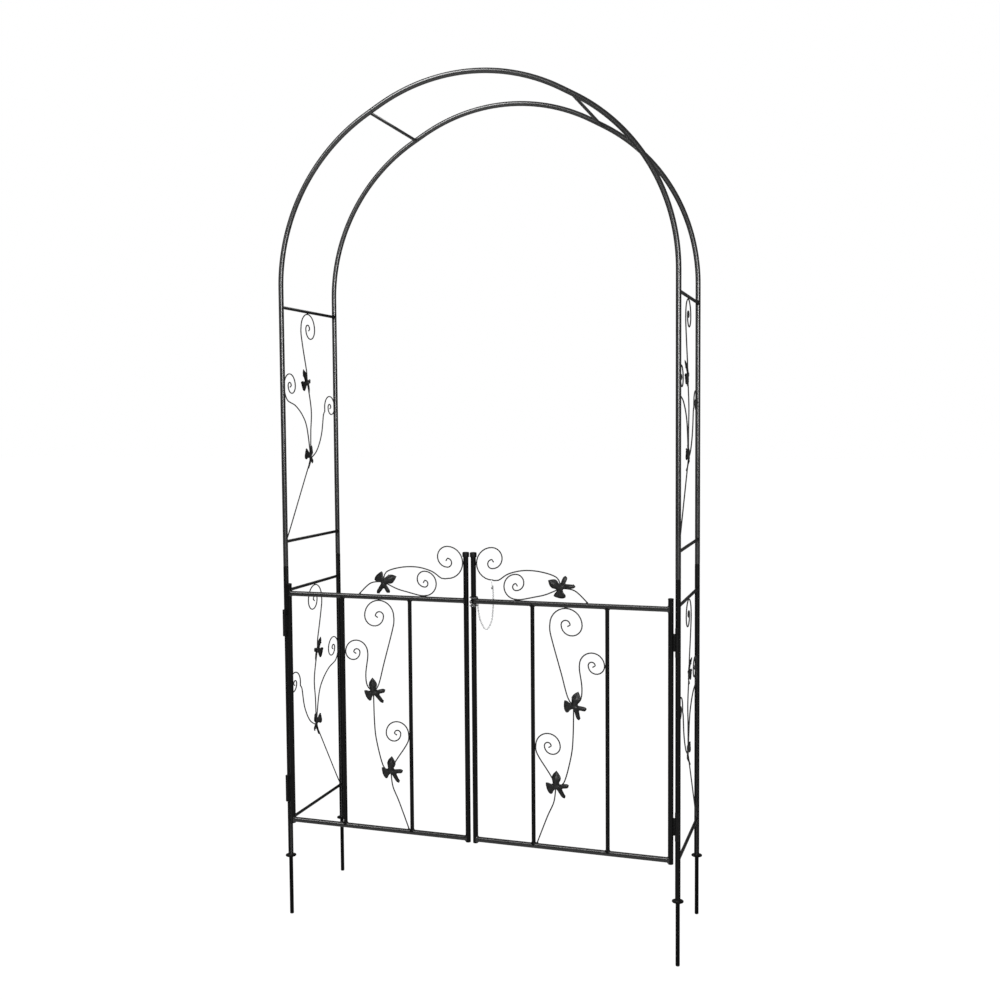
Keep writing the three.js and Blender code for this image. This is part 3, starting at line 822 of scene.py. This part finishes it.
def panel_scroll(side):
    bm = bmesh.new()

    def at(shares):
        return inner_bar_x + shares[0] * bar_spacing, gate_bottom + shares[1] * gate_height

    low_leaf, high_leaf = at(panel_shares["low_leaf"]), at(panel_shares["high_leaf"])
    bar_touch = bar_radius + touch_gap
    top_x, _ = at((panel_shares["top_curl"], 0))
    foot_x, _ = at((panel_shares["foot"], 0))
    _, low_z = at((0, panel_shares["low_curl"]))
    _, high_z = at((0, panel_shares["high_curl"]))
    top_z = gate_top - rail_radius - touch_gap - large_curl
    high_x = outer_bar_x - bar_touch - 2 * small_curl
    stems = {name: [at(shares) for shares in panel_shares[name]] for name in (
        "foot_stem", "mid_stem", "low_stem", "top_stem", "high_stem")}
    foot = (foot_x, gate_bottom + rail_radius + touch_gap)
    wire(bm, [foot, *stems["foot_stem"], low_leaf])
    wire(bm, [low_leaf, *stems["mid_stem"], high_leaf])
    wire(bm, [low_leaf, *stems["low_stem"]], (inner_bar_x + bar_touch, low_z, up, small_curl))
    wire(bm, [high_leaf, *stems["top_stem"]], (top_x, top_z, up, large_curl))
    wire(bm, [high_leaf, *stems["high_stem"]], (high_x, high_z, up, small_curl))
    blob = wire_radius * 1.4
    dab(bm, (foot_x, 0, gate_bottom + rail_radius + 0.8), blob, (1.3, 1, 1))
    dab(bm, (top_x + large_curl, 0, gate_top - rail_radius - 1), blob, (1.9, 1.1, 1))
    dab(bm, (inner_bar_x + bar_radius + 0.8, 0, low_z), blob, (0.9, 1, 1.8))
    dab(bm, (outer_bar_x - bar_radius - 0.8, 0, high_z), blob, (0.9, 1, 1.8))
    if side < 0:
        flip(bm)
    tilts = ivy_tilts[side]
    set_leaf(bm, side * low_leaf[0], low_leaf[1], tilts[0])
    set_leaf(bm, side * high_leaf[0], high_leaf[1], tilts[1])
    bmesh.ops.translate(bm, vec=(0, leaf_y, 0), verts=bm.verts[:])
    return bm


crest_shares = {
    "leaf": (0.455, 0.338),
    "foot": 0.588,
    "foot_stem": [(0.525, 0.3)],
    "upper_stem": [(0.437, 0.55), (0.358, 0.66), (0.267, 0.68), (0.186, 0.6)],
    "lower_stem": [(0.381, 0.2), (0.32, 0.135)],
    "upper_curl": 0.458,
    "lower_curl": 0.2245,
}


def crest_scroll(side):
    bm = bmesh.new()

    def at(shares):
        return latch_x + shares[0] * leaf_width, gate_top + shares[1] * latch_stile_rise

    leaf = at(crest_shares["leaf"])
    rail_touch = gate_top + rail_radius + touch_gap
    upper_x = latch_x + stile_radius + touch_gap + large_curl
    _, upper_z = at((0, crest_shares["upper_curl"]))
    lower_x, _ = at((crest_shares["lower_curl"], 0))
    foot_x, _ = at((crest_shares["foot"], 0))
    stems = {name: [at(shares) for shares in crest_shares[name]] for name in (
        "foot_stem", "upper_stem", "lower_stem")}
    wire(bm, [(foot_x, rail_touch), *stems["foot_stem"], leaf])
    wire(bm, [leaf, *stems["upper_stem"]], (upper_x, upper_z, level, large_curl))
    wire(bm, [leaf, *stems["lower_stem"]], (lower_x, rail_touch, level, small_curl))
    blob = wire_radius * 1.4
    dab(bm, (foot_x, 0, gate_top + rail_radius + 0.8), blob, (1.3, 1, 1))
    dab(bm, (lower_x, 0, gate_top + rail_radius + 0.9), blob, (1.9, 1.1, 0.9))
    dab(bm, (latch_x + stile_radius + 0.8, 0, upper_z + large_curl), blob, (0.9, 1, 1.8))
    if side < 0:
        flip(bm)
    set_leaf(bm, side * leaf[0], leaf[1], crest_tilts[side])
    bmesh.ops.translate(bm, vec=(0, leaf_y, 0), verts=bm.verts[:])
    return bm


# ---------------------------------------------------------------- gate leaves


def stile(side, x, top):
    """Upright of a leaf: its foot is an open tube end"""
    bm = bmesh.new()
    foot = Vector((side * x, leaf_y, gate_bottom - stile_drop))
    rod = open_socket(bm, foot, Z)
    rod.straight(top - rod.at.z - lip).straight(lip, stile_radius - lip).close()
    return bm


def rail(side, z):
    bm = bmesh.new()
    start = (side * (latch_x + stile_radius), leaf_y, z)
    end = (side * (hinge_x - stile_radius), leaf_y, z)
    welded_bar(bm, start, end, rail_radius, stile_radius, Z, tube_sides)
    return bm


def upright_bar(side, x):
    bm = bmesh.new()
    start = (side * x, leaf_y, gate_bottom + rail_radius)
    end = (side * x, leaf_y, gate_top - rail_radius)
    welded_bar(bm, start, end, bar_radius, rail_radius, X, 24)
    return bm


def latch_cap(side):
    """Moulded sleeve cap with a parting line and a soft top edge"""
    bm = bmesh.new()
    inner = stile_radius + fit_gap
    outer = inner + cap_wall
    turned(bm, [
        (0, cap_cover + fit_gap), (inner, cap_cover + fit_gap), (inner, 0.4), (inner + 0.4, 0),
        (outer - 0.5, 0), (outer - 0.12, 0.5), (outer, 1.2), (outer, 2.4), (outer - 0.2, 2.6),
        (outer - 0.2, 2.8), (outer, 3.0), (outer, cap_height - 2.6),
        (outer - 0.35, cap_height - 1.3), (outer - 1.2, cap_height - 0.4),
        (outer - 2.6, cap_height), (1.4, cap_height), (1.1, cap_height - 0.35),
        (0, cap_height - 0.35),
    ], (side * latch_x, leaf_y, gate_top + latch_stile_rise - cap_cover), 36)
    return bm


def hinge_cap(side):
    """Push-in plug with a domed head"""
    bm = bmesh.new()
    head = stile_radius + 0.5
    shank = stile_radius - tube_wall - spigot_clearance
    turned(bm, [
        (0, -8), (shank - 0.8, -8), (shank, -7.2), (shank, fit_gap), (head - 0.3, fit_gap),
        (head, 0.7), (head, 1.9), (head - 0.5, 3.0), (head - 1.6, 3.7), (head - 3.2, 4),
        (1.2, 4.05), (0.9, 3.8), (0, 3.8),
    ], (side * hinge_x, leaf_y, gate_top + hinge_stile_rise), 32)
    return bm


hinge_shares = {"lower": 0.136, "upper": 0.869}
hinge_heights = {name: gate_bottom + share * gate_height for name, share in hinge_shares.items()}


def hinge_pin(side, z):
    """Pin between two lugs that are welded to the front of the post"""
    bm = bmesh.new()
    inner = barrel_length / 2 + fit_gap
    outer = inner + lug_length
    edge = 0.6
    turned(bm, [
        (0, -outer), (barrel_radius - edge, -outer), (barrel_radius, -outer + edge),
        (barrel_radius, -inner - edge), (barrel_radius - edge, -inner), (pin_radius, -inner),
        (pin_radius, inner), (barrel_radius - edge, inner), (barrel_radius, inner + edge),
        (barrel_radius, outer - edge), (barrel_radius - edge, outer), (0, outer),
    ], (side * half_span, leaf_y, z), 24)
    seam_y = -half_depth - post_radius
    for up_or_down in (-1, 1):
        for aside in (-3.1, 3.1):
            x = side * half_span + aside
            low = z + up_or_down * (inner + 1.6)
            high = z + up_or_down * (outer - 1.4)
            bead(bm, (x, seam_y, low), (x, seam_y, high), 1.5)
    return bm


def hinge_barrel(side, z):
    """Barrel with its strap, welded to the stile"""
    bm = bmesh.new()
    hole = pin_radius + pin_clearance
    half = barrel_length / 2
    edge = 0.6
    turned(bm, [
        (hole, -half + edge), (hole + edge, -half), (barrel_radius - edge, -half),
        (barrel_radius, -half + edge), (barrel_radius, half - edge),
        (barrel_radius - edge, half), (hole + edge, half), (hole, half - edge),
        (hole, -half + edge),
    ], (side * half_span, leaf_y, z), 24)
    root = (barrel_radius + hole) / 2
    end = stile_to_post - stile_radius + 0.4
    size = Matrix.Diagonal((end - root, strap_thickness, barrel_length - 0.6, 1))
    place = Matrix.Translation((side * (half_span - (root + end) / 2), leaf_y, z))
    made = bmesh.ops.create_cube(bm, size=1, matrix=place @ size)
    bmesh.ops.bevel(
        bm, geom=between_verts(made["verts"]), offset=0.45, segments=2, profile=0.5,
        affect="EDGES", material=-1)
    weld_x = side * (hinge_x + stile_radius + 0.5)
    for front in (-1, 1):
        y = leaf_y + front * (strap_thickness / 2 + 0.3)
        bead(bm, (weld_x, y, z - half + 2), (weld_x, y, z + half - 2), 1.35)
    return bm


# ---------------------------------------------------------------- closing chain

link_wire = 0.65
link_width = 4.3
link_pitch = 4
wrap_points = 26
wrap_start = 20
wrap_step = 40
wrap_lowers_at = 400
wrap_lowers_over = 300
wrap_creep = 0.1
chain_step = 0.4
hook_wire = 0.8
hook_bend = 2.6
hook_steps = 10
# Chain route, in shares of its spread, its set-back behind the rail and its drop
chain_shares = [
    (1, 0.55, 0.9), (0.99, 1, 0.74), (0.98, 1, 0.45), (0.86, 1, 0.16), (0.52, 1, 0),
    (0.18, 1, 0.16), (0.03, 1, 0.38), (0, 1, 0.6),
]


def chain_link(bm, centre, along, across):
    """One welded oval link"""
    known = set(bm.verts)
    bend_radius = link_width / 2 - link_wire
    run = link_pitch - 2 * bend_radius + 2 * link_wire
    rod = Rod(bm, (-run / 2, 0, bend_radius), X, link_wire, 6)
    rod.straight(run).bend((run / 2, 0, 0), Y, math.pi, 5)
    rod.straight(run).bend((-run / 2, 0, 0), Y, math.pi, 5)
    fresh = verts_since(bm, known)
    bmesh.ops.remove_doubles(bm, verts=fresh, dist=0.02)
    fresh = [vert for vert in fresh if vert.is_valid]
    along = along.normalized()
    across = (across - along * across.dot(along)).normalized()
    turn = Matrix((along, across, along.cross(across))).transposed().to_4x4()
    bmesh.ops.transform(bm, matrix=Matrix.Translation(centre) @ turn, verts=fresh)
    return faces_round(fresh)


def along_path(points, pitch):
    """Middles and headings of links laid end to end along a path"""
    laid = []
    at = points[0]
    travelled = 0.0
    for point in points[1:]:
        travelled += (point - at).length
        at = point
        if travelled >= pitch * (len(laid) + 0.5):
            laid.append(point)
    headings = []
    for i, point in enumerate(laid):
        before, after = laid[max(i - 1, 0)], laid[min(i + 1, len(laid) - 1)]
        headings.append((after - before).normalized())
    return list(zip(laid, headings))


def closing_chain():
    bm = bmesh.new()
    reach = 1.5
    near_x = latch_x + stile_radius + fit_gap + reach
    far_x = latch_x + stile_radius + touch_gap + large_curl
    curl_z = gate_top + crest_shares["upper_curl"] * latch_stile_rise
    top_z = curl_z - touch_gap - reach
    behind = rail_radius + fit_gap + reach
    knots = [
        Vector((near_x + x * (far_x - near_x), leaf_y + y * behind, top_z - (1 - z) * chain_hang))
        for x, y, z in chain_shares]
    # The near end is wound round the latch stile, from above the rail to below it, in degrees
    wrap_radius = stile_radius + fit_gap + link_width / 2
    rail_clear = rail_radius + link_width / 2 + 1
    wrap = []
    for i in range(wrap_points):
        angle = wrap_start + wrap_step * i
        lowered = min(max((angle - wrap_lowers_at) / wrap_lowers_over, 0), 1)
        angle = math.radians(angle)
        wrap.append(Vector((
            latch_x + wrap_radius * math.cos(angle), leaf_y + wrap_radius * math.sin(angle),
            gate_top + rail_clear * (1 - 2 * lowered) - wrap_creep * i)))
    hanging = len(along_path(spline(knots, chain_step), link_pitch))
    twist = X + Y * 0.2
    places = along_path(spline(knots + wrap, chain_step), link_pitch)
    for i, (centre, heading) in enumerate(places):
        across = twist if i < hanging else Z
        link = chain_link(bm, centre, heading, across if i % 2 else heading.cross(across))
        # Wound links take the darker clasp zinc as painted shade.
        for face in link:
            face.material_index = 0 if i < hanging else 1
    # Hook over the curl's lowest point
    hook_x, hook_z = far_x, curl_z
    rod = Rod(bm, (hook_x, leaf_y + hook_bend, hook_z - 3), Z, hook_wire, 8)
    rod.straight(2.4).bend((hook_x, leaf_y, hook_z - 0.6), X, math.pi, hook_steps)
    rod.straight(17).bend((hook_x, leaf_y, rod.at.z), X, math.pi, hook_steps)
    rod.straight(3).close()
    collar = turned(bm, [
        (0, -3), (1.4, -3), (2.1, -2.2), (2.3, 0), (2.1, 2.2), (1.4, 3), (0, 3),
    ], (hook_x, leaf_y - 1.4, hook_z - 21), 14)
    for face in faces_round(collar):
        face.material_index = 1
    return bm


# ---------------------------------------------------------------- assembly

sides = {"left": -1, "right": 1}
faces = {"front": -1, "back": 1}
crossings = {
    "lower_bottom": lower_panel_base,
    "lower_top": lower_panel_base + panel_height,
    "upper_bottom": upper_panel_base,
    "upper_top": upper_panel_base + panel_height,
}

for face_name, face in faces.items():
    node = f"crown_bow_{face_name}"
    place_piece(crown_bow(face), node + "_tube", node, "frame", [hoop_paint_lit_copy])

for side_name, side in sides.items():
    for face_name, face in faces.items():
        place = f"{side_name}_{face_name}"
        node = f"ground_stake_{place}"
        place_piece(
            ground_stake(side, face), node + "_rod", node, "frame", [stake_paint_shaded_copy])
        node = f"lower_post_{place}"
        place_piece(
            lower_post(side, face), node + "_tube", node, "frame", [post_paint_shaded_copy])
        node = f"upper_post_{place}"
        place_piece(
            upper_post(side, face), node + "_tube", node, "frame", [hoop_paint_lit_copy])
    for name, z in crossings.items():
        node = f"crossbar_{side_name}_{name}"
        place_piece(crossbar(side, z), node + "_bar", node, "frame", [post_paint_shaded_copy])
    node = f"arch_rod_{side_name}"
    place_piece(arch_rod(side), node + "_bar", node, "frame", [hoop_paint_lit_copy])
    for name, base, turn in (
        ("lower", lower_panel_base, -math.pi / 2), ("upper", upper_panel_base, math.pi / 2)):
        node = f"scroll_{side_name}_{name}"
        place_piece(
            side_scroll(side, base, turn), node + "_wires", node, "frame",
            [wire_paint, casting_paint])

    body = f"{side_name}_leaf"
    for name, height in hinge_heights.items():
        node = f"hinge_pin_{side_name}_{name}"
        place_piece(
            hinge_pin(side, height), node + "_steel", node, "frame", [hinge_paint_shaded_copy])
        node = f"{body}_hinge_barrel_{name}"
        place_piece(
            hinge_barrel(side, height), node + "_steel", node, body, [hinge_paint_shaded_copy])
    tubes = {
        "hinge_stile": stile(side, hinge_x, gate_top + hinge_stile_rise),
        "latch_stile": stile(side, latch_x, gate_top + latch_stile_rise),
        "bottom_rail": rail(side, gate_bottom),
        "top_rail": rail(side, gate_top),
        "inner_bar": upright_bar(side, inner_bar_x),
        "outer_bar": upright_bar(side, outer_bar_x),
    }
    for name, shape in tubes.items():
        node = f"{body}_{name}"
        paint = rail_paint_lit_copy if name.endswith("rail") else gate_paint_shaded_copy
        place_piece(shape, node + "_tube", node, body, [paint])
    scrolls = {"panel_scroll": panel_scroll(side), "crest_scroll": crest_scroll(side)}
    for name, shape in scrolls.items():
        node = f"{body}_{name}"
        finishes = [wire_paint, casting_paint]
        place_piece(shape, node + "_wires", node, body, finishes)
    caps = {"latch_cap": latch_cap(side), "hinge_cap": hinge_cap(side)}
    for name, shape in caps.items():
        node = f"{body}_{name}"
        place_piece(shape, node + "_moulding", node, body, [cap_moulding])

node = "right_leaf_closing_chain"
place_piece(closing_chain(), node + "_links", node, "right_leaf",
            [chain_plating, clasp_zinc_and_wrap_shade])


# ---------------------------------------------------------------- studio

scene = bpy.context.scene
scene.view_settings.view_transform = "Standard"
room_light = 0.16
floor_share = 0.92
floor_white = 1.09


def backdrop_floor():
    """Pale floor that the camera sees near white, with the object's shadow kept faint"""
    material, tree = new_finish("pale_studio_floor")
    place = tree.node("ShaderNodeTexCoord", output=3)
    mottle = tree.clouds(place, 0.9, 2.0)
    pale = tree.blend(mottle, (0.79, 0.79, 0.79, 1), (0.83, 0.83, 0.83, 1))
    matt = tree.node("ShaderNodeBsdfDiffuse", {"Color": pale})
    white = tree.node("ShaderNodeEmission", {"Color": (1, 1, 1, 1), "Strength": floor_white})
    seen = tree.node("ShaderNodeLightPath")
    mixed = tree.node("ShaderNodeMixShader", {0: seen * floor_share, 1: matt, 2: white})
    tree.node("ShaderNodeOutputMaterial", {"Surface": mixed})
    bm = bmesh.new()
    bmesh.ops.create_grid(bm, x_segments=8, y_segments=8, size=40)
    mesh = bpy.data.meshes.new("studio_floor")
    bm.to_mesh(mesh)
    bm.free()
    mesh.materials.append(material)
    floor = bpy.data.objects.new("studio_floor", mesh)
    scene.collection.objects.link(floor)


def studio_world():
    """White where the camera sees it, and a dimmer room that lights the arch"""
    world = bpy.data.worlds.new("studio_world")
    world.use_nodes = True
    world.node_tree.nodes.clear()
    tree = Wire(world.node_tree)
    camera_ray = tree.node("ShaderNodeLightPath")
    paths = camera_ray.socket.node.outputs
    clear_ray = Wire(tree.tree, paths["Is Transmission Ray"])
    seen = tree.maths("MAXIMUM", camera_ray, clear_ray)
    light = tree.node("ShaderNodeBackground", {"Color": (1, 1, 1, 1), "Strength": room_light})
    white = tree.node("ShaderNodeBackground", {"Color": (1, 1, 1, 1), "Strength": 1.0})
    mixed = tree.node("ShaderNodeMixShader", {0: seen, 1: light, 2: white})
    tree.node("ShaderNodeOutputWorld", {"Surface": mixed})
    scene.world = world


def softbox(name, place, target, size, power):
    lamp = bpy.data.lights.new(name, "AREA")
    lamp.shape = "RECTANGLE"
    lamp.size, lamp.size_y = size
    lamp.energy = power
    holder = bpy.data.objects.new(name, lamp)
    holder.location = place
    holder.rotation_euler = (Vector(target) - Vector(place)).to_track_quat("-Z", "Y").to_euler()
    scene.collection.objects.link(holder)


camera_place = (1.01725, -3.09344, 1.3914)
camera_turn = 0.31873
camera_dip = 0.05748
camera_roll = -0.00785
camera_lens = 42.234
camera_shift = (0.01134, -0.00947)


def photograph_camera():
    lens = bpy.data.cameras.new("photograph_camera")
    lens.lens = camera_lens
    lens.sensor_width = 36
    lens.shift_x, lens.shift_y = camera_shift
    lens.clip_start, lens.clip_end = 0.05, 120
    camera = bpy.data.objects.new("photograph_camera", lens)
    camera.matrix_world = (
        Matrix.Translation(camera_place) @ Matrix.Rotation(camera_turn, 4, "Z")
        @ Matrix.Rotation(math.pi / 2 - camera_dip, 4, "X") @ Matrix.Rotation(camera_roll, 4, "Z"))
    scene.collection.objects.link(camera)
    scene.camera = camera


backdrop_floor()
studio_world()
softbox("front_softbox", (1.9, -3.4, 2.0), (0, 0, 1.7), (0.6, 1.2), 84)
softbox("overhead_softbox", (-1.25, -2.4, 3.5), (0, 0, 1.0), (0.75, 2.2), 70)
softbox("back_softbox", (-0.8, 3.4, 3.0), (0, 0, 1.3), (1.8, 1.2), 12)
photograph_camera()
